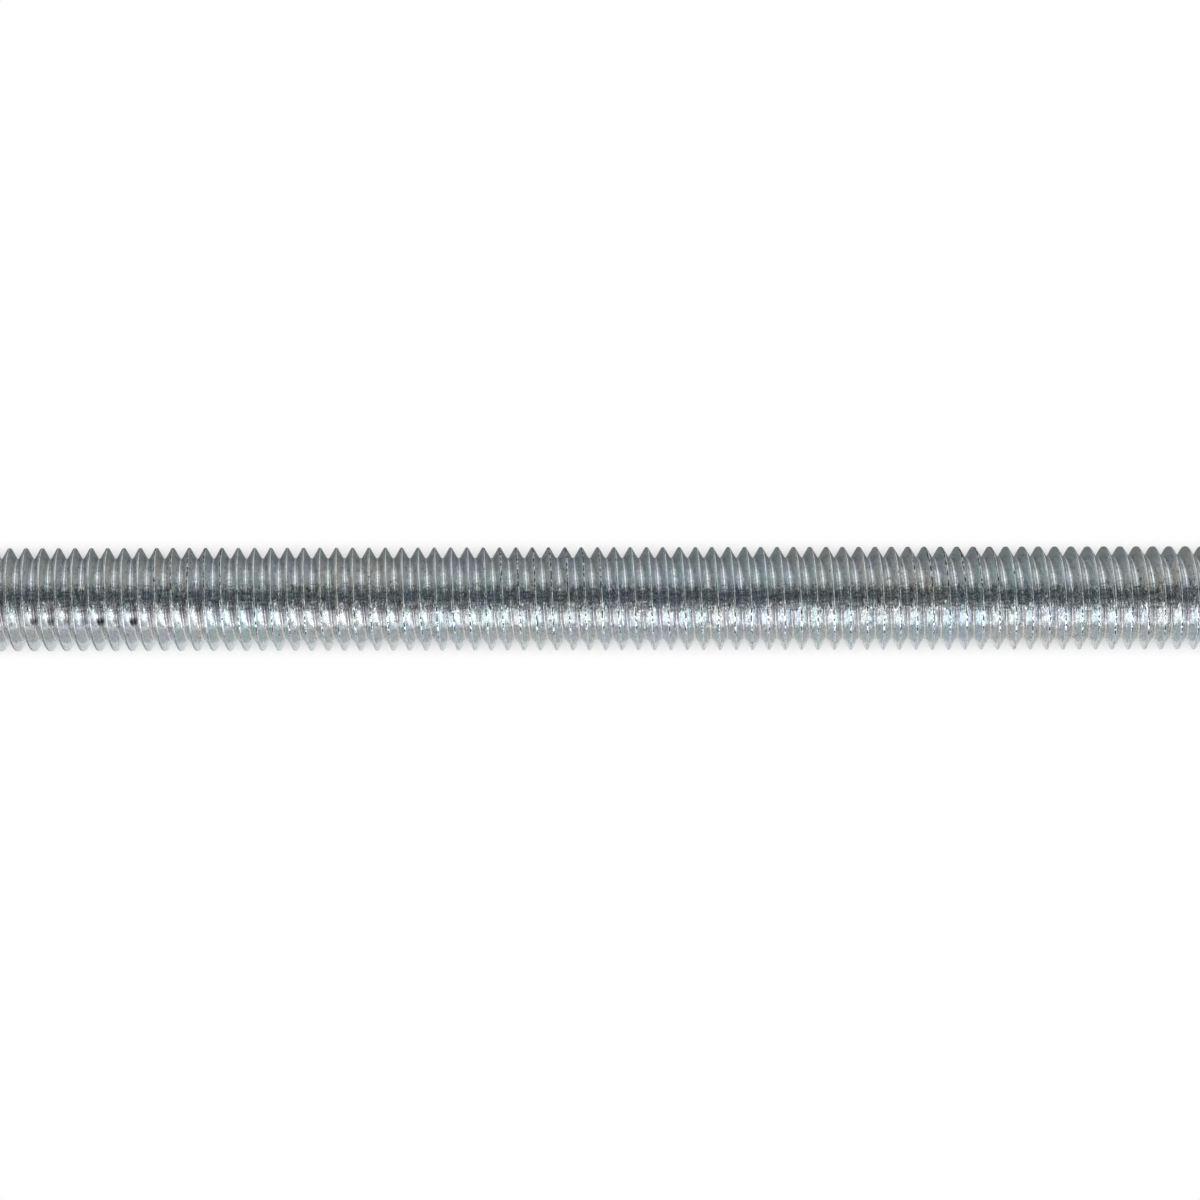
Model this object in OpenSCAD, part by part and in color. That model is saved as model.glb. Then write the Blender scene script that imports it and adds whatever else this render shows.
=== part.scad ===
// Fully threaded steel rod, M8 x 1.25, right-hand, with both ends cut square and chamfered.
// The rod lies along X with the middle of its axis at the origin, and +Z is up.
// Sizes are in millimetres.

/* [Rod] */
// Length over the two end faces
rod_l = 100; // [60:1:102]
// Diameter of the flat face that is left at each end
end_face_d = 6.1; // [5:0.05:6.6]
// Slope of the end chamfers, measured from the rod's axis
chamfer_angle = 45; // [30:1:60]

/* [Thread] */
// Diameter over the crests
major_d = 7.9; // [7.4:0.02:9]
// Distance along the rod from one crest to the next
pitch = 1.25; // [1.23:0.01:1.6]
// Angle between the two flanks of a groove
flank_angle = 60; // [56:1:65]
// Width of the flat on a crest, along the rod
crest_flat = 0.16; // [0.05:0.01:0.25]
// Width of the flat at the bottom of a groove, along the rod
root_flat = 0.2; // [0.1:0.01:0.3]

/* [Fineness] */
// Number of flats that stand for each turn of the thread
turn_flats = 18; // [12:1:18]

/* [Hidden] */
crest_r = major_d / 2;
// Width of one flank along the rod
flank_w = (pitch - crest_flat - root_flat) / 2;
root_r = crest_r - flank_w / tan(flank_angle / 2);
// One pitch of the profile, as distance along the rod and radius
profile = [
    [0, crest_r],
    [crest_flat, crest_r],
    [crest_flat + flank_w, root_r],
    [pitch - flank_w, root_r],
];
// The thread runs a little past both end faces, and the blank cuts it off square
turns = ceil(rod_l / pitch) + 3;
last = (turns - 1) * turn_flats;
half_l = turns * pitch / 2;
blank_r = crest_r + 0.5;
chamfer_l = (blank_r - end_face_d / 2) / tan(chamfer_angle);
zinc = [0.66, 0.68, 0.69];

// A point of the thread: column j counts along the helix, and k along one pitch of the profile
function helix_point(j, k) =
    let (a = j * 360 / turn_flats)
    [j * pitch / turn_flats - half_l + profile[k][0], profile[k][1] * cos(a), profile[k][1] * sin(a)];
// Index of that point, where point 4 of a column is point 0 one whole turn further on
function at(j, k) =
    k == 4 ? at(j + turn_flats, 0) : j <= last ? 4 * j + k : 4 * last + 3 + j - last;

// The thread and its core as one closed body, a little longer than the rod
module thread_body() {
    skin = [
        for (j = [0:last], k = [0:3]) helix_point(j, k),
        for (j = [last + 1:last + turn_flats]) helix_point(j, 0),
    ];
    walls = [
        for (j = [0:last - 1], k = [0:3])
        each [
            [at(j, k), at(j, k + 1), at(j + 1, k + 1)],
            [at(j, k), at(j + 1, k + 1), at(j + 1, k)],
        ],
    ];
    // Each end closes as a fan from a point on the axis to the rim of its outermost turn
    rim_a = [for (j = [0:turn_flats]) at(j, 0), for (k = [3:-1:1]) at(0, k)];
    rim_b = [for (j = [turn_flats:-1:0]) at(last + j, 0), for (k = [1:3]) at(last, k)];
    tip = len(skin);
    fan_a = [for (i = [0:len(rim_a) - 1]) [tip, rim_a[i], rim_a[(i + 1) % len(rim_a)]]];
    fan_b = [for (i = [0:len(rim_b) - 1]) [tip + 1, rim_b[i], rim_b[(i + 1) % len(rim_b)]]];
    polyhedron(
        points = concat(skin, [[(pitch / 2) - half_l, 0, 0], [half_l - pitch / 2, 0, 0]]),
        faces = concat(walls, fan_a, fan_b)
    );
}

// The round blank with its two chamfered ends
module blank() {
    rotate([0, 90, 0])
        rotate_extrude()
            polygon([
                [0, -rod_l / 2],
                [end_face_d / 2, -rod_l / 2],
                [blank_r, -rod_l / 2 + chamfer_l],
                [blank_r, rod_l / 2 - chamfer_l],
                [end_face_d / 2, rod_l / 2],
                [0, rod_l / 2],
            ]);
}

module threaded_rod() {
    color(zinc)
        intersection() {
            thread_body();
            blank();
        }
}

threaded_rod();
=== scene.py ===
"""Threaded rod M8 x 1.25, bright zinc plate, lying on a white sheet and seen from straight above.

The rod lies along X with the middle of its axis at the origin. Everything is in metres.
"""
import math
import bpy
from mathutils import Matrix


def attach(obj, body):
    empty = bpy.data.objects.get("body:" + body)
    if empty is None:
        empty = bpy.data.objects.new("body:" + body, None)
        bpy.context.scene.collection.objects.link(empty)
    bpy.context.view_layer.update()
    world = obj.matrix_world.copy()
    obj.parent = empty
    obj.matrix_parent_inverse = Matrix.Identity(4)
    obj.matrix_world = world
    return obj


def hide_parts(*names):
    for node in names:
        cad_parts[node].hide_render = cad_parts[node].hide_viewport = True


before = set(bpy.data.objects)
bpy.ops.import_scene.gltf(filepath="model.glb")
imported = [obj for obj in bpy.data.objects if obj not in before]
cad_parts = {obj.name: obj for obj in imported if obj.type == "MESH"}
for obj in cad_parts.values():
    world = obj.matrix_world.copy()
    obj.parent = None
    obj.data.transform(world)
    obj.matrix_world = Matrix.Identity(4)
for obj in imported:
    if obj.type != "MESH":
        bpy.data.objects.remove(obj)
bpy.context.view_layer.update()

from types import SimpleNamespace

import bpy
import numpy as np

# Sizes of the rod, the same named values as in the part's source
ROD_L = 0.100
END_FACE_D = 0.0061
MAJOR_D = 0.0079
PITCH = 0.00125
FLANK_HALF_ANGLE = math.radians(30)
CREST_FLAT = 0.00016
TURNS_DRAWN = 83
CREST_R = MAJOR_D / 2
# Where the middle of a crest stands at angle zero, which is the +Y side
CREST_X = CREST_FLAT / 2 - TURNS_DRAWN * PITCH / 2
# Radii of the rounded groove bottom and of the two rounded corners of a crest
ROOT_ROUND = 0.00013
CREST_ROUND = 0.00006
# Steps round the rod, along one chamfered end, and from the rim of an end face to its middle
AROUND = 64
END_STEPS = 36
FACE_RINGS = 6
# Length of the stretch at each end that is worked out together with its chamfer
END_STRETCH = 0.00105
# Depth over which the thread passes into the cut surface of a chamfer
CUT_FADE = 0.00003
# Corners join into one vertex where they agree on a grid this fine, a hundredth of a micrometre
GRID_PER_METRE = 1e8

# The photo's frame: its width, one pitch and the distance of the camera, all in pixels of the rod's middle
PHOTO_PIXELS = 1200
PITCH_PIXELS = 16.32
VIEW_PIXELS = 3300
CAMERA_X = -0.000357
CAMERA_Y_PIXELS = -1.2
CAMERA_TURN = math.radians(-0.1)
SENSOR_MM = 36

# The sheet: its half width, and the rows of it that glow in the rod's reflection on the key light's side, a
# painted reflection of lit paper
SHEET_HALF = 3.0
SHEET_GREY = (0.72, 0.72, 0.72)
SHEET_KEY_EDGE = 0.004
SHEET_GLOW_LEVEL = 0.69
# The painted shadow round the rod: how far it reaches, and its level right at the rod
SHADOW_REACH = 0.0022
SHADOW_LEVEL = 0.54

# Level of the whole room, under that of the soft boxes
ROOM_LEVEL = 0.21
# The light's colour from the lower side of the photo, from above and from the upper side
KEY_LIGHT = (0.955, 0.972, 1.0)
TOP_LIGHT = (0.74, 0.92, 1.0)
HIGH_LIGHT = (0.93, 1.0, 0.995)

# The plate's colours: cool, warm and bluish patches, and the shade of a rolling streak
COOL_ZINC = (0.642, 0.706, 0.710)
WARM_ZINC = (0.750, 0.714, 0.690)
BLUE_ZINC = (0.672, 0.694, 0.752)
STREAK_SHADE = (0.84, 0.85, 0.86)
# The groove's bottom, coloured row by row to paint light and shade on it: creamy in the lowest rows, painted
# shade in the key rows, grey about the middle, and a painted highlight in the upper rows
CREAMY_GROOVE = (0.635, 0.605, 0.560)
SHADED_GROOVE = (0.39, 0.375, 0.385)
GREY_GROOVE = (0.58, 0.58, 0.59)
HIGHLIGHT_GROOVE = (0.95, 0.93, 0.96)
# Dirt in the groove, and in the key rows painted shade as well
GROOVE_DIRT_AND_SHADE = (0.14, 0.12, 0.135)
# The crest, coloured row by row to paint light and shade on it: in the lowest rows, a painted highlight in the
# key rows above them, painted shade at the left end and in the upper half, and its lip, a painted highlight
# line in the upper half
LOW_CREST = (0.52, 0.55, 0.565)
KEY_ROW_CREST_HIGHLIGHT = (0.70, 0.73, 0.74)
LEFT_CREST = (0.36, 0.375, 0.385)
HIGH_CREST = (0.37, 0.39, 0.40)
LOW_LIP = (0.60, 0.63, 0.645)
HIGH_LIP_HIGHLIGHT = (0.92, 0.93, 0.93)
# Dark marks: painted shade spots in a few grooves, specks, and the painted shadow in the crest's cracks
SPOT_SHADE = (0.03, 0.03, 0.03)
SPECK = (0.12, 0.125, 0.13)
FOLD_SHADOW = (0.025, 0.027, 0.03)

# Stretches of the upper half where the crests are cracked: the middle, half the length, and where it ends
CRACKED_STRETCHES = ((-0.0314, 0.0020, 0.0050), (-0.0040, 0.0030, 0.0070), (0.0268, 0.0025, 0.0060))
# The largest two painted shade spots in the grooves, and the stretch that has smaller ones
LARGE_SHADE_SPOTS = ((-0.0387, 0.0004, 0.0009), (-0.0362, 0.0004, 0.0009))
SHADE_SPOT_STRETCH = (-0.0395, 0.0045, 0.0055)
# Depth of the plating grain and of the turned rings
GRAIN_DEPTH = 0.0000040
RING_DEPTH = 0.0000045


def link(obj):
    """Puts an object into the scene."""
    bpy.context.scene.collection.objects.link(obj)
    return obj


# The camera comes first: it looks straight down on the rod, and the rod runs past both sides of the picture
PIXEL = PITCH / PITCH_PIXELS
VIEW_DISTANCE = VIEW_PIXELS * PIXEL
camera_data = bpy.data.cameras.new("camera")
camera_data.sensor_width = SENSOR_MM
camera_data.sensor_fit = "HORIZONTAL"
camera_data.lens = SENSOR_MM * VIEW_DISTANCE / (PHOTO_PIXELS * PIXEL)
camera_data.clip_start = 0.005
camera_data.clip_end = 20
camera = link(bpy.data.objects.new("camera", camera_data))
camera.location = (CAMERA_X, CAMERA_Y_PIXELS * PIXEL, VIEW_DISTANCE)
camera.rotation_euler = (0, 0, CAMERA_TURN)
bpy.context.scene.camera = camera


def profile_knots():
    """Half of the thread's profile, from the middle of a groove to the middle of a crest.

    Returns three arrays: distance along the rod from the groove's middle, radius, and slope angle of the
    surface (0 where it runs along the rod, 60 degrees on the flank). The groove bottom is an arc about a
    centre two arc radii above the point where the flanks would meet, and turns through 60 degrees. The
    crest corner is an arc that turns back through 60 degrees to a short flat.
    """
    tan_half = math.tan(FLANK_HALF_ANGLE)
    meet_r = CREST_R + CREST_FLAT / 2 / tan_half - PITCH / 2 / tan_half
    t = np.radians(np.array([0, 15, 30, 45, 60.0]))
    root_x = ROOT_ROUND * np.sin(t)
    root_r = meet_r + 2 * ROOT_ROUND - ROOT_ROUND * np.cos(t)
    s = np.radians(np.array([60, 40, 20, 0.0]))
    flat_half = CREST_FLAT / 2 - CREST_ROUND * tan_half
    crest_x = PITCH / 2 - flat_half - CREST_ROUND * np.sin(s)
    crest_r = CREST_R - CREST_ROUND * (1 - np.cos(s))
    x = np.concatenate([root_x, crest_x, [PITCH / 2]])
    r = np.concatenate([root_r, crest_r, [CREST_R]])
    slope = np.concatenate([t, s, [0.0]])
    return x, r, slope


def profile_table():
    """One whole pitch of the profile: the half profile, and the same mirrored about the crest."""
    x, r, slope = profile_knots()
    full_x = np.concatenate([x, PITCH - x[-2::-1]])
    full_r = np.concatenate([r, r[-2::-1]])
    full_slope = np.concatenate([slope, -slope[-2::-1]])
    return full_x / PITCH, full_r, np.tan(full_slope)


W_KNOT, R_KNOT, SLOPE_KNOT = profile_table()


def thread_radius(w):
    """Radius of the thread where w is the distance across a pitch as a share of it, 0 in a groove's middle."""
    return np.interp(w % 1.0, W_KNOT, R_KNOT)


def across_pitch(x, angle):
    """Distance across the profile in pitches: it moves one pitch along X for each turn round the rod."""
    return (x - CREST_X) / PITCH + 0.5 - angle / (2 * np.pi)


def polar(x, r, angle):
    """Points from the distance along the rod, the radius and the angle from +Y towards +Z."""
    return np.stack([x, r * np.cos(angle), r * np.sin(angle)], axis=-1)


def surface_normal(slope_x, slope_turn, angle):
    """Normal of a surface r(x, angle): outwards, less its slope along X, less its slope round the rod."""
    radial = np.stack([np.zeros_like(angle), np.cos(angle), np.sin(angle)], axis=-1)
    tangent = np.stack([np.zeros_like(angle), -np.sin(angle), np.cos(angle)], axis=-1)
    along = np.array([1.0, 0.0, 0.0])
    n = radial - slope_x[..., None] * along - slope_turn[..., None] * tangent
    return n / np.linalg.norm(n, axis=-1, keepdims=True)


def cells(point, normal, uv_low, uv_high, shade):
    """Quads of a grid [angle, along], as arrays of their four corners.

    uv_low and uv_high are the UV of a cell's lower and upper side along the rod, given for each angle, so
    that the map can jump between two cells and never inside one.
    """
    def corners(grid_low, grid_high):
        return np.stack([grid_low[:-1], grid_low[1:], grid_high[1:], grid_high[:-1]], axis=2)

    p = corners(point[:, :-1], point[:, 1:])
    n = corners(normal[:, :-1], normal[:, 1:])
    uv = corners(uv_low, uv_high)
    s = corners(shade[:, :-1], shade[:, 1:])
    return p.reshape(-1, 4, 3), n.reshape(-1, 4, 3), uv.reshape(-1, 4, 2), s.reshape(-1, 4)


def thread_cells(x_end):
    """The thread between -x_end and x_end: columns of the profile at AROUND angles, each a step further on.

    A column holds the profile's own points over and over, moved along X with its angle. Points past either
    end are held at that end, and the faces that this closes up are dropped later.
    """
    angle = np.linspace(0, 2 * np.pi, AROUND + 1)
    per = len(W_KNOT) - 1
    first = math.floor(across_pitch(-x_end, 2 * np.pi)) - 1
    last = math.ceil(across_pitch(x_end, 0.0)) + 1
    turn = np.arange(first, last)
    knot = (turn[:, None] + W_KNOT[None, :-1]).ravel()
    a = angle[:, None] + np.zeros_like(knot)[None, :]
    x = CREST_X + (knot[None, :] - 0.5 + a / (2 * np.pi)) * PITCH
    held = np.clip(x, -x_end, x_end)
    w = across_pitch(held, a)
    r = thread_radius(w)
    own_slope = np.tile(SLOPE_KNOT[:-1], len(turn))[None, :]
    slope = np.where(held == x, own_slope, np.interp(w % 1.0, W_KNOT, SLOPE_KNOT))
    point = polar(held, r, a)
    normal = surface_normal(slope, -slope * PITCH / (2 * np.pi) / r, a)
    k = np.repeat(turn, per)[None, :-1]
    turns = a / (2 * np.pi)
    low = np.stack([turns[:, :-1] + k, w[:, :-1] - k], axis=-1)
    high = np.stack([turns[:, 1:] + k, w[:, 1:] - k], axis=-1)
    return cells(point, normal, low, high, np.zeros_like(r))


def end_cells(x_start, side):
    """The last stretch at one end: the thread under a 45 degree cone down to the flat end face.

    The radius is the smaller of the thread's and the cone's, on a fine grid along the rod. The end face is
    a few rings down to the axis.
    """
    angle = np.linspace(0, 2 * np.pi, AROUND + 1)
    along = np.linspace(x_start, ROD_L / 2, END_STEPS + 1)
    a = angle[:, None] + np.zeros_like(along)[None, :]
    x = side * (np.zeros_like(a) + along[None, :])
    cone = END_FACE_D / 2 + (ROD_L / 2 - np.abs(x))
    w = across_pitch(x, a)
    thread = thread_radius(w)
    r = np.minimum(thread, cone)
    cut = np.clip((thread - cone) / CUT_FADE + 0.5, 0, 1)
    slope_x = np.gradient(r, axis=1) / np.gradient(x, axis=1)
    slope_turn = np.gradient(r, axis=0) / np.gradient(a, axis=0) / r
    slope_turn[0] = slope_turn[-1] = (slope_turn[0] + slope_turn[-1]) / 2
    point, normal = polar(x, r, a), surface_normal(slope_x, slope_turn, a)
    k = np.floor((w[:, :-1] + w[:, 1:]) / 2)
    turns = a[:, :-1] / (2 * np.pi)
    low = np.stack([turns + k, w[:, :-1] - k], axis=-1)
    high = np.stack([turns + k, w[:, 1:] - k], axis=-1)
    wall = cells(point, normal, low, high, cut)
    ring = np.linspace(END_FACE_D / 2, 0, FACE_RINGS + 1)
    a = angle[:, None] + np.zeros_like(ring)[None, :]
    r = np.zeros_like(a) + ring[None, :]
    point = polar(np.full_like(r, side * ROD_L / 2), r, a)
    normal = np.zeros_like(point)
    normal[..., 0] = side
    flat = np.stack([r[:, :-1] / PITCH, a[:, :-1]], axis=-1)
    flat_high = np.stack([r[:, 1:] / PITCH, a[:, 1:]], axis=-1)
    face = cells(point, normal, flat, flat_high, np.full_like(r, 2.0))
    return [np.concatenate(pair) for pair in zip(wall, face)]


def rod_mesh(name):
    """Joins the thread and both ends into one closed skin.

    Corners that stand at the same place become one vertex. Each quad becomes two triangles, a triangle that
    has lost a corner is dropped, and one that faces inwards is turned. Corner normals and the UV map are
    the surface's own.
    """
    x_start = ROD_L / 2 - END_STRETCH
    parts = [thread_cells(x_start), end_cells(x_start, 1), end_cells(x_start, -1)]
    p, n, uv, shade = [np.concatenate(kind) for kind in zip(*parts)]
    quad = np.arange(len(p) * 4).reshape(-1, 4)
    tri = np.concatenate([quad[:, [0, 1, 2]], quad[:, [0, 2, 3]]])
    key = np.round(p.reshape(-1, 3) * GRID_PER_METRE).astype(np.int64)
    key, vertex_of = np.unique(key, axis=0, return_inverse=True)
    vertex_of = vertex_of.ravel()
    at = vertex_of[tri]
    whole = (at[:, 0] != at[:, 1]) & (at[:, 1] != at[:, 2]) & (at[:, 0] != at[:, 2])
    tri, at = tri[whole], at[whole]
    place = p.reshape(-1, 3)[tri]
    facing = np.cross(place[:, 1] - place[:, 0], place[:, 2] - place[:, 0])
    outward = (facing * n.reshape(-1, 3)[tri].mean(axis=1)).sum(axis=1)
    turned = outward < 0
    tri[turned] = tri[turned][:, ::-1]
    at[turned] = at[turned][:, ::-1]
    mesh = bpy.data.meshes.new(name)
    mesh.vertices.add(len(key))
    mesh.vertices.foreach_set("co", (key / GRID_PER_METRE).astype(np.float32).ravel())
    mesh.loops.add(at.size)
    mesh.loops.foreach_set("vertex_index", at.astype(np.int32).ravel())
    mesh.polygons.add(len(at))
    mesh.polygons.foreach_set("loop_start", np.arange(0, at.size, 3, dtype=np.int32))
    mesh.polygons.foreach_set("loop_total", np.full(len(at), 3, dtype=np.int32))
    mesh.update(calc_edges=True)
    layer = mesh.uv_layers.new(name="helix")
    layer.data.foreach_set("uv", uv.reshape(-1, 2)[tri].astype(np.float32).ravel())
    cut = mesh.attributes.new("cut", "FLOAT", "CORNER")
    cut.data.foreach_set("value", shade.ravel()[tri].astype(np.float32).ravel())
    mesh.shade_smooth()
    mesh.normals_split_custom_set(n.reshape(-1, 3)[tri].reshape(-1, 3))
    return mesh


class Value:
    """A value that the nodes of a tree carry.

    a * b, a + b and a - b each add one Math node, and one of the two may be a plain number. The methods
    are the other steps that lead on from a value.
    """

    def __init__(self, tree, socket):
        self.tree = tree
        self.socket = socket

    def __add__(self, other):
        return maths("ADD", self, other)

    def __sub__(self, other):
        return maths("SUBTRACT", self, other)

    def __rsub__(self, other):
        return maths("SUBTRACT", other, self)

    def __mul__(self, other):
        return maths("MULTIPLY", self, other)

    def scaled(self, by, plus):
        """This value multiplied by one value or number, plus another."""
        return maths("MULTIPLY_ADD", self, by, plus)

    def size(self):
        """This value without its sign."""
        return maths("ABSOLUTE", self)

    def or_more(self, other):
        """The larger of this value and another."""
        return maths("MAXIMUM", self, other)

    def ramp(self, low, high, to_low, to_high, smooth=True):
        """Takes this value from low..high to to_low..to_high, held at both ends."""
        node = self.tree.nodes.new("ShaderNodeMapRange")
        node.interpolation_type = "SMOOTHSTEP" if smooth else "LINEAR"
        join(self, node.inputs["Value"])
        node.inputs["From Min"].default_value = low
        node.inputs["From Max"].default_value = high
        node.inputs["To Min"].default_value = to_low
        node.inputs["To Max"].default_value = to_high
        return Value(self.tree, node.outputs["Result"])

    def rise(self, low, high):
        """0 up to low, and 1 from high on."""
        return self.ramp(low, high, 0.0, 1.0)

    def fade(self, low, high):
        """1 up to low, and 0 from high on."""
        return self.ramp(low, high, 1.0, 0.0)

    def near(self, centre, full, none):
        """1 within full of the centre, falling to 0 at none away from it."""
        return (self - centre).size().fade(full, none)


def join(value, target):
    """Joins a value to an input, or sets the input to a plain number or colour."""
    if isinstance(value, Value):
        value.tree.links.new(value.socket, target)
    elif isinstance(value, tuple):
        target.default_value = (*value, 1)
    else:
        target.default_value = value


def tree_of(terms):
    """The tree that the first value among some terms is in."""
    return next(term.tree for term in terms if isinstance(term, Value))


def maths(operation, *terms):
    """A Math node on values or plain numbers, and its result."""
    tree = tree_of(terms)
    node = tree.nodes.new("ShaderNodeMath")
    node.operation = operation
    for socket, term in zip(node.inputs, terms):
        join(term, socket)
    return Value(tree, node.outputs[0])


def blend(share, first, second, mode="MIX"):
    """Mixes two colours, each a value or a plain colour, by a share, a value or a number."""
    tree = tree_of((share, first, second))
    node = tree.nodes.new("ShaderNodeMix")
    node.data_type = "RGBA"
    node.blend_type = mode
    for socket, term in zip((node.inputs[0], node.inputs[6], node.inputs[7]), (share, first, second)):
        join(term, socket)
    return Value(tree, node.outputs[2])


def grey(level):
    """A grey of one level."""
    return (level, level, level)


def add(nodes, kind, **values):
    """Adds one node. A value named in_NAME sets that input, and any other sets a property."""
    node = nodes.new(kind)
    for key, value in values.items():
        if key.startswith("in_"):
            node.inputs[key[3:].replace("_", " ")].default_value = value
        else:
            setattr(node, key, value)
    return node


def split(vector):
    """The three parts of a vector."""
    node = add(vector.tree.nodes, "ShaderNodeSeparateXYZ")
    join(vector, node.inputs[0])
    return [Value(vector.tree, part) for part in node.outputs]


def noise(vector, scale, stretch=(1, 1, 1), detail=2.0, rough=0.5, shift=(0, 0, 0), colour=False):
    """A noise pattern on a vector that is first stretched and moved: one value, or three in a colour."""
    nodes = vector.tree.nodes
    place = add(nodes, "ShaderNodeMapping", in_Scale=stretch, in_Location=shift)
    join(vector, place.inputs["Vector"])
    node = add(nodes, "ShaderNodeTexNoise", in_Scale=scale, in_Detail=detail, in_Roughness=rough)
    vector.tree.links.new(place.outputs[0], node.inputs["Vector"])
    return Value(vector.tree, node.outputs[1 if colour else 0])


def rod_places(tree):
    """The places on the rod that its finish is laid out by.

    The map 'helix' holds the turn number and the place across the pitch, 0 in the groove and 0.5 on the
    crest, so below 0.5 is the left flank of a crest and above it the right one. The attribute 'cut' is 1 on
    the chamfers and 2 on the end faces. along, aside and up are the Object coordinates. A row is a range of
    aside, and its + side is the half of the rod that lies above in the photo.
    """
    at = SimpleNamespace(tree=tree)
    at.helix = Value(tree, add(tree.nodes, "ShaderNodeUVMap", uv_map="helix").outputs[0])
    at.across = split(at.helix)[1]
    at.place = Value(tree, add(tree.nodes, "ShaderNodeTexCoord").outputs["Object"])
    at.along, at.aside, at.up = split(at.place)
    cut = Value(tree, add(tree.nodes, "ShaderNodeAttribute", attribute_name="cut").outputs["Fac"])
    at.on_thread = cut.fade(0.3, 0.7)
    at.on_cut = cut.rise(0.3, 0.7)
    at.off_crest = (at.across - 0.5).size()
    at.crest = at.off_crest.fade(0.035, 0.075) * at.on_thread

    # The rows that the key light makes bright, and their stretch at the left end, where it falls in aslant
    at.key_rows = at.aside.near(-0.0012, 0.0009, 0.0012) * at.on_thread
    at.left_key_rows = at.key_rows * at.along.fade(-0.022, -0.002)

    # The groove's bottom: a little narrower in the lower half, wider on its left side, and moved over to
    # that side in the left key rows
    narrower = at.aside.ramp(-0.0002, 0.0008, -0.010, 0.0)
    moved = at.left_key_rows * at.across.ramp(0.4, 0.6, -0.022, 0.046)
    wider = at.across.ramp(0.6, 0.9, 0.0, -0.036)
    at.root = (at.off_crest + narrower + moved + wider).rise(0.41, 0.45) * at.on_thread

    # Patterns: rolling streaks and patches along the thread, and grain, waves and long stretches on all of it
    at.streak = split(noise(at.helix, 1.0, (36, 16, 1), 2.0, 0.65, colour=True))
    at.patch = noise(at.helix, 1.0, (2.6, 1.7, 1), 2.0, 0.5, (5, 1, 2))
    at.crack_noise = noise(at.helix, 1.0, (56, 4, 1), 2.0, 0.6, (11, 5, 0))
    at.grain = noise(at.place, 4200, (1, 0.9, 0.9), 2.0, 0.6)
    at.wave = noise(at.place, 1500, (1, 0.7, 0.7), 1.0, 0.5, (1, 2, 3))
    at.stretch = noise(at.place, 90, (1, 1, 1), 1.0, 0.5, (9, 4, 7))
    return at


def crest_fold(at):
    """The fold along the middle of a crest: a broken line of short cracks, in certain stretches."""
    first, second, third = [at.along.near(*stretch) for stretch in CRACKED_STRETCHES]
    upper = first.or_more(second).or_more(third) * at.aside.rise(0.0004, 0.0010)
    middle = at.along.rise(-0.031, -0.026) * at.aside.near(-0.0016, 0.0008, 0.0014)
    lower = at.along.ramp(0.028, 0.036, 0.0, 0.9) * at.aside.rise(-0.0034, -0.0026)
    lower = lower * at.aside.fade(-0.0016, -0.0010)
    cracked = upper.or_more(middle.or_more(lower))
    wander = noise(at.helix, 1.0, (14, 1, 1), 1.0, 0.5, (2, 9, 0))
    off_line = (at.across - wander.ramp(0.3, 0.7, 0.47, 0.53, smooth=False)).size()
    broken = cracked.scaled(0.20, at.crack_noise).rise(0.66, 0.72)
    return off_line.fade(0.025, 0.060) * broken * at.on_thread


def crest_lip(at):
    """The thin lip beside the fold, as a share; the crest's colour paints a highlight line along it."""
    off_lip = (at.across - 0.54).size()
    return at.crack_noise.scaled(-0.03, off_lip).fade(-0.006, 0.022)


def rolled_slope(at):
    """The small tilts that rolling leaves, as a normal map along 'helix'.

    Most of the surface is nearly true, and a few fine lines tilt strongly along the thread. They are calmer
    towards the left in the lower rows, and on the crests where these are worn smooth. Each flank also
    stands off its angle by a little, the two in opposite ways.
    """
    bent = at.streak[0] - 0.5
    bent = bent * bent.size().scaled(1.8, 0.22)
    lively = 1.0 - at.along.ramp(-0.040, 0.030, 0.5, 0.05)
    bent = bent * lively.or_more(at.aside.rise(-0.0012, -0.0006))
    worn_smooth = at.crest * at.aside.ramp(-0.0019, -0.0013, 0.8, 0.0)
    bent = bent * (1.0 - worn_smooth)
    off_angle = at.across.ramp(0.46, 0.54, -0.010, 0.010)
    slope = add(at.tree.nodes, "ShaderNodeCombineXYZ", in_Z=1)
    join(bent + 0.5, slope.inputs[0])
    join(at.streak[1].scaled(0.06, 0.47) + off_angle, slope.inputs[1])
    tilt = add(at.tree.nodes, "ShaderNodeNormalMap", uv_map="helix")
    at.tree.links.new(slope.outputs[0], tilt.inputs["Color"])
    join(at.on_thread, tilt.inputs["Strength"])
    return Value(at.tree, tilt.outputs[0])


def raised(height, normal, distance):
    """A bump of some height on a normal."""
    node = add(height.tree.nodes, "ShaderNodeBump", in_Strength=1.0, in_Distance=distance)
    join(height, node.inputs["Height"])
    join(normal, node.inputs["Normal"])
    return Value(height.tree, node.outputs[0])


def surface_relief(at, fold):
    """Grain, waves and cracks on the rolled slope, and the tool's fine rings on cut surfaces."""
    height = fold.scaled(-2.5, at.wave.scaled(0.3, at.grain * 1.6))
    normal = raised(height, rolled_slope(at), GRAIN_DEPTH)
    nodes, links = at.tree.nodes, at.tree.links
    flat_place = add(nodes, "ShaderNodeVectorMath", operation="MULTIPLY")
    join(at.place, flat_place.inputs[0])
    flat_place.inputs[1].default_value = (0, 1, 1)
    radius = add(nodes, "ShaderNodeVectorMath", operation="LENGTH")
    links.new(flat_place.outputs[0], radius.inputs[0])
    ring_at = add(nodes, "ShaderNodeCombineXYZ")
    links.new(radius.outputs["Value"], ring_at.inputs[0])
    rings = noise(Value(at.tree, ring_at.outputs[0]), 14000, detail=1.0)
    return raised(rings * at.on_cut, normal, RING_DEPTH)


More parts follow.
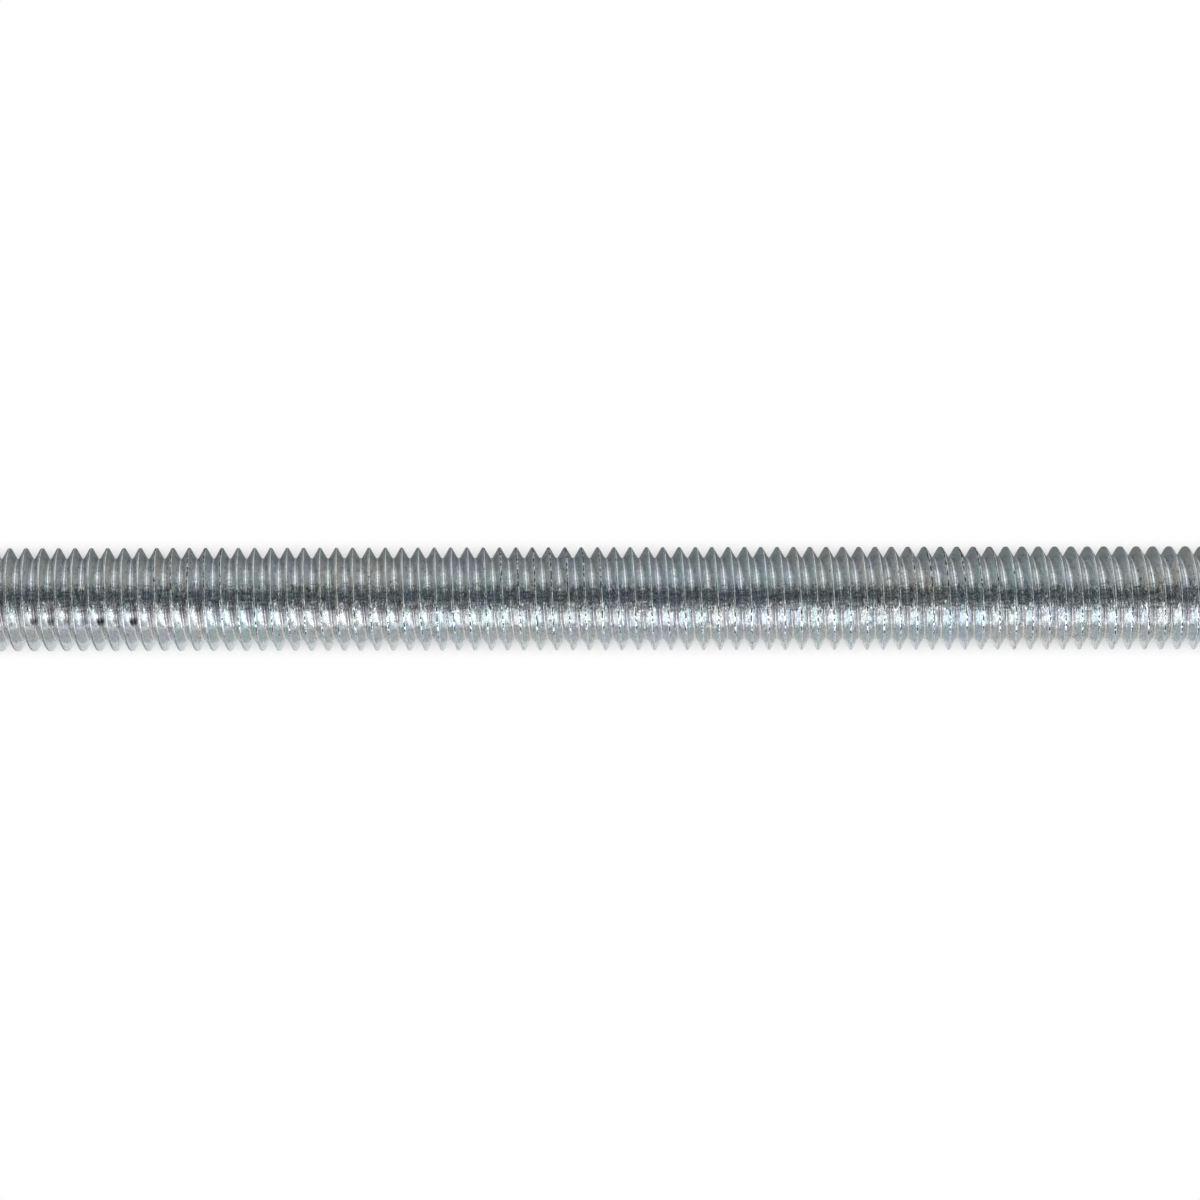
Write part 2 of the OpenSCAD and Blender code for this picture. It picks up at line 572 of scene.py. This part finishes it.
def flank_tint(at):
    """The flanks: cool zinc with warmer and bluer patches and darker streaks, and painted highlight and
    painted shade by rows.
    """
    # Warmer: towards the groove on the left flank, in long stretches, at the left end of the upper half
    warm = at.across.scaled(-0.42, at.patch * 0.6 + at.stretch.scaled(0.9, -0.03))
    warm = warm + at.aside.ramp(-0.0028, -0.0014, -0.09, 0.0)
    warm = warm + at.along.ramp(-0.034, -0.024, 0.14, 0.0) * at.aside.rise(-0.0004, 0.0010)
    warm = warm + at.along.ramp(-0.020, 0.000, -0.03, -0.05) * at.aside.fade(-0.0008, 0.0002)
    tint = blend(warm.rise(0.38, 0.62) * at.on_thread, COOL_ZINC, WARM_ZINC)
    blue = noise(at.place, 420, (1, 0.6, 0.6), 1.0, 0.5, (4, 4, 1))
    tint = blend(blue.rise(0.48, 0.66) * 0.5, tint, BLUE_ZINC)

    # Painted shade: a dark edge beside the groove, on the one side in the lower rows and on the other in the
    # upper half
    edge = at.across.near(0.075, 0.025, 0.065) * at.aside.near(-0.0016, 0.0004, 0.0009)
    edge = edge.or_more(at.across.near(0.88, 0.04, 0.08) * at.aside.ramp(0.0000, 0.0006, 0.0, 0.5))
    edge = edge * (1.0 - at.left_key_rows)
    lowest_highlight_rows = at.left_key_rows * at.aside.near(-0.0020, 0.0003, 0.0006)
    shaded_flank = at.across.near(0.30, 0.10, 0.14) * at.along.fade(-0.022, -0.002)
    # Streak tone, then painted light: painted shade on the edge, painted highlights on the flanks in the key
    # rows, stronger at the left end and in its lowest rows, and painted shade on the flanks' dull part in the
    # key rows
    streak_and_painted_light = (
        (at.streak[2].rise(0.62, 0.32), STREAK_SHADE),
        (edge * at.on_thread, (0.60, 0.60, 0.615)),
        (at.key_rows * at.across.near(0.79, 0.13, 0.19), (1.10, 1.10, 1.11)),
        (at.left_key_rows * at.across.near(0.80, 0.18, 0.22), (1.25, 1.25, 1.26)),
        (lowest_highlight_rows * at.across.near(0.76, 0.16, 0.18), grey(1.16)),
        (at.key_rows * shaded_flank, grey(0.62)),
        (at.left_key_rows * at.across.near(0.11, 0.07, 0.11), grey(0.93)),
    )
    for share, shade in streak_and_painted_light:
        tint = blend(share, tint, shade, "MULTIPLY")
    return tint


def groove_tint(at):
    """The groove's bottom, coloured row by row to paint light and shade on it: a painted highlight in the
    upper rows, creamy in the lowest, painted shade in the key rows between, and more painted shade in the key
    rows at the left end.
    """
    groove = blend(at.aside.rise(-0.0024, -0.0018), CREAMY_GROOVE, SHADED_GROOVE)
    groove = blend(at.aside.rise(-0.0010, -0.0005), groove, GREY_GROOVE)
    groove = blend(at.aside.rise(0.0002, 0.0010), groove, HIGHLIGHT_GROOVE)
    return blend(at.left_key_rows, groove, grey(0.72), "MULTIPLY")


def groove_dirt_and_shade(at):
    """How dark the groove is made: a strip along the key rows, mostly painted shade that darkens the groove
    where the key light falls, with dirty specks in it, and a trace of dirt elsewhere.
    """
    shaded_strip = at.aside.rise(-0.0020, -0.0016) * at.aside.fade(-0.0008, -0.0003)
    dirt = at.streak[0].scaled(0.8, at.patch * 0.4).rise(0.54, 0.64)
    return shaded_strip.scaled(dirt.scaled(0.55, 0.26), dirt * 0.08)


def groove_shade_spots(at):
    """Painted shade: dark spots in a few grooves near the left end, in one row and on the upper side only."""
    first, second = [at.along.near(*spot) for spot in LARGE_SHADE_SPOTS]
    smaller = at.along.near(*SHADE_SPOT_STRETCH) * at.patch.ramp(0.35, 0.60, 0.25, 0.75)
    spot = first.or_more(second).or_more(smaller)
    spot = spot * (at.off_crest.rise(0.33, 0.40) * at.on_thread)
    spot = spot * at.up.rise(-0.0006, 0.0006)
    return spot * (at.aside.rise(-0.0022, -0.0018) * at.aside.fade(-0.0017, -0.0013))


def crest_painted_light_tint(at, lip):
    """The crest with painted light by rows: a painted highlight in the key rows of the lower half, a brighter
    lip that paints a highlight line in the upper half, and painted shade in the upper half, in the lowest rows
    and at the left end.
    """
    crest_light = blend(at.aside.rise(-0.0026, -0.0017), LOW_CREST, KEY_ROW_CREST_HIGHLIGHT)
    crest_light = blend(at.along.fade(-0.040, -0.024), crest_light, LEFT_CREST)
    crest_light = blend(at.aside.rise(-0.0016, 0.0000), crest_light, HIGH_CREST)
    crest_light = blend(lip, crest_light, blend(at.aside.rise(-0.0010, 0.0001), LOW_LIP, HIGH_LIP_HIGHLIGHT))
    # Painted shade on the crest in the lowest rows, and at the left end of the lower half
    lowest = at.aside.near(-0.0025, 0.0002, 0.0006) * 0.9
    crest_light = blend(lowest, crest_light, grey(0.62), "MULTIPLY")
    left_end = at.along.fade(-0.034, -0.020) * at.aside.fade(-0.0016, -0.0008)
    return blend(left_end, crest_light, grey(0.72), "MULTIPLY")


def mottle(at):
    """A fine mottling that multiplies the colour, strongest in the middle rows, on crests and in grooves."""
    strength = (at.aside.near(0.0000, 0.0007, 0.0014) * at.on_thread).scaled(2.0, 0.6)
    strength = (at.crest + at.root).scaled(0.6, strength)
    fine = noise(at.place, 9000, (1, 0.7, 0.7), 1.0, 0.5, (6, 2, 5))
    fine = (fine - 0.5).scaled(strength, at.along.ramp(-0.046, -0.030, 0.95, 0.98))
    return fine.or_more(0.4)


def plate_tint(at, fold, lip):
    """The whole colour, from the flanks up: groove with painted light, dirt and painted shade in it, painted
    shade spots, the crest's painted light, specks, cracks with painted shadow, and mottling.
    """
    tint = blend(at.root * 0.9, flank_tint(at), groove_tint(at))
    tint = blend(at.root * groove_dirt_and_shade(at), tint, GROOVE_DIRT_AND_SHADE)
    tint = blend(groove_shade_spots(at), tint, SPOT_SHADE)
    tint = blend(at.crest, tint, crest_painted_light_tint(at, lip))
    speck = noise(at.place, 5200, (1, 0.6, 0.6), 1.0, 0.5, (3, 8, 1))
    speck = at.stretch.scaled(0.18, speck).rise(0.78, 0.84)
    tint = blend(speck * 0.8, tint, SPECK)
    tint = blend(fold * 0.93, tint, FOLD_SHADOW)
    return blend(1.0, tint, mottle(at), "MULTIPLY")


def plate_roughness(at, fold, lip):
    """Bright plate is smooth. Grain, groove, worn crest, cracks and cut surfaces each add to that."""
    rough = at.grain.rise(0.3, 0.7).scaled(0.09, 0.12)
    rough = at.root.scaled(0.06, rough)
    rough = at.crest.scaled(lip.scaled(at.aside.ramp(-0.0014, -0.0006, 0.04, 0.30), 0.06), rough)
    rough = fold.scaled(0.3, rough)
    return at.on_cut.scaled(0.14, rough)


def zinc_material():
    """Bright zinc plate on rolled steel, laid out by rod_places."""
    mat = bpy.data.materials.new("zinc plate")
    mat.use_nodes = True
    at = rod_places(mat.node_tree)
    fold, lip = crest_fold(at), crest_lip(at)
    shader = mat.node_tree.nodes["Principled BSDF"]
    shader.inputs["Metallic"].default_value = 1.0
    join(surface_relief(at, fold), shader.inputs["Normal"])
    join(plate_tint(at, fold, lip), shader.inputs["Base Color"])
    join(plate_roughness(at, fold, lip), shader.inputs["Roughness"])
    return mat


rod = link(bpy.data.objects.new("rod_skin", rod_mesh("rod_skin")))
rod.data.materials.append(zinc_material())
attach(rod, "root")
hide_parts("threaded_rod")


def sheet_mesh(name):
    """A level square under the rod, touching its lowest crests."""
    corners = [(x * SHEET_HALF, y * SHEET_HALF, -CREST_R) for x, y in ((-1, -1), (1, -1), (1, 1), (-1, 1))]
    mesh = bpy.data.meshes.new(name)
    mesh.from_pydata(corners, [], [(0, 1, 2, 3)])
    return mesh


def sheet_material():
    """White paper.

    To the camera it is white, with a soft shadow painted round the rod from how near the rod is. In the rod's
    own reflection it glows on the key light's side, a painted reflection of lit paper, and to all other light
    it is plain grey paper.
    """
    mat = bpy.data.materials.new("white sheet")
    mat.use_nodes = True
    tree = mat.node_tree
    nodes, links = tree.nodes, tree.links
    nodes.clear()
    output = nodes.new("ShaderNodeOutputMaterial")
    paper = nodes.new("ShaderNodeBsdfDiffuse")
    join(SHEET_GREY, paper.inputs["Color"])
    white = nodes.new("ShaderNodeEmission")
    join(grey(1), white.inputs["Color"])
    rays = nodes.new("ShaderNodeLightPath")
    reflected = Value(tree, rays.outputs["Is Glossy Ray"])
    seen = Value(tree, rays.outputs["Is Camera Ray"])
    aside = split(Value(tree, add(nodes, "ShaderNodeTexCoord").outputs["Object"]))[1]
    glow_side = aside.ramp(-SHEET_KEY_EDGE, SHEET_KEY_EDGE, SHEET_GLOW_LEVEL, 0.0)
    near = add(nodes, "ShaderNodeAmbientOcclusion", samples=8, in_Distance=SHADOW_REACH)
    shadow = Value(tree, near.outputs["AO"]).ramp(0.6, 1.0, SHADOW_LEVEL, 1.0, smooth=False)
    join(shadow.or_more(reflected), white.inputs["Strength"])
    mix = nodes.new("ShaderNodeMixShader")
    join(seen.or_more(reflected * glow_side), mix.inputs[0])
    links.new(paper.outputs[0], mix.inputs[1])
    links.new(white.outputs[0], mix.inputs[2])
    links.new(mix.outputs[0], output.inputs[0])
    return mat


sheet = link(bpy.data.objects.new("sheet", sheet_mesh("sheet")))
sheet.data.materials.append(sheet_material())


def soft_box(lean, off_middle, angles, levels, edge, smooth=True):
    """Level of a soft box, by the angle of lean and the distance off the middle of the rod's length.

    The four angles are in degrees: where the box starts, where it is full, where it begins to fade and
    where it ends. The first level holds up to the edge's first number off the middle, and the second level
    from the sum of its two numbers on.
    """
    start, full, fading, end = (math.radians(angle) for angle in angles)
    level = lean.ramp(start, full, 0.0, 1.0, smooth) * lean.ramp(fading, end, 1.0, 0.0, smooth)
    return level * off_middle.ramp(edge[0], edge[0] + edge[1], *levels)


def studio_world():
    """The studio: all light comes from soft boxes in the world, and the camera sees plain white behind.

    A lean of 0 is straight up, and + is towards +Y.
    """
    world = bpy.data.worlds.new("studio")
    world.use_nodes = True
    tree = world.node_tree
    nodes, links = tree.nodes, tree.links
    nodes.clear()
    output = nodes.new("ShaderNodeOutputWorld")
    way_x, way_y, way_z = split(Value(tree, add(nodes, "ShaderNodeTexCoord").outputs["Generated"]))
    lean = maths("ARCTAN2", way_y, way_z)
    off_middle = way_x.size()

    low_side = soft_box(lean, off_middle, (-200, -190, -37, -6), (0.77, 0.66), (0.5, 0.2), smooth=False)
    low_side = low_side * lean.ramp(-1.95, -1.40, 0.66, 1.0)
    high_side = soft_box(lean, off_middle, (21, 54, 77, 109), (0.86, 0.50), (0.44, 0.12), smooth=False)
    # The key light is one bright box across the middle, weaker towards both ends, and one box beyond each end
    key_middle = soft_box(lean, off_middle, (-86, -74, -45, -29), (2.9, 0.0), (0.30, 0.12))
    weaker = way_x.ramp(-0.23, -0.04, 0.10, 1.0) * way_x.ramp(0.12, 0.28, 1.0, 0.3)
    key_ends = soft_box(lean, off_middle, (-80, -67, -45, -29), (0.0, 1.7), (0.58, 0.12))
    level = low_side + high_side + (key_middle * weaker + key_ends) + ROOM_LEVEL
    light = blend(lean.rise(-0.35, 0.0), KEY_LIGHT, TOP_LIGHT)
    light = blend(lean.rise(0.2, 0.6), light, HIGH_LIGHT)

    room = nodes.new("ShaderNodeBackground")
    join(light, room.inputs["Color"])
    join(level, room.inputs["Strength"])
    back = nodes.new("ShaderNodeBackground")
    join(grey(1), back.inputs["Color"])
    rays = nodes.new("ShaderNodeLightPath")
    mix = nodes.new("ShaderNodeMixShader")
    links.new(rays.outputs["Is Camera Ray"], mix.inputs[0])
    links.new(room.outputs[0], mix.inputs[1])
    links.new(back.outputs[0], mix.inputs[2])
    links.new(mix.outputs[0], output.inputs[0])
    return world


bpy.context.scene.world = studio_world()
bpy.context.scene.view_settings.view_transform = "Standard"
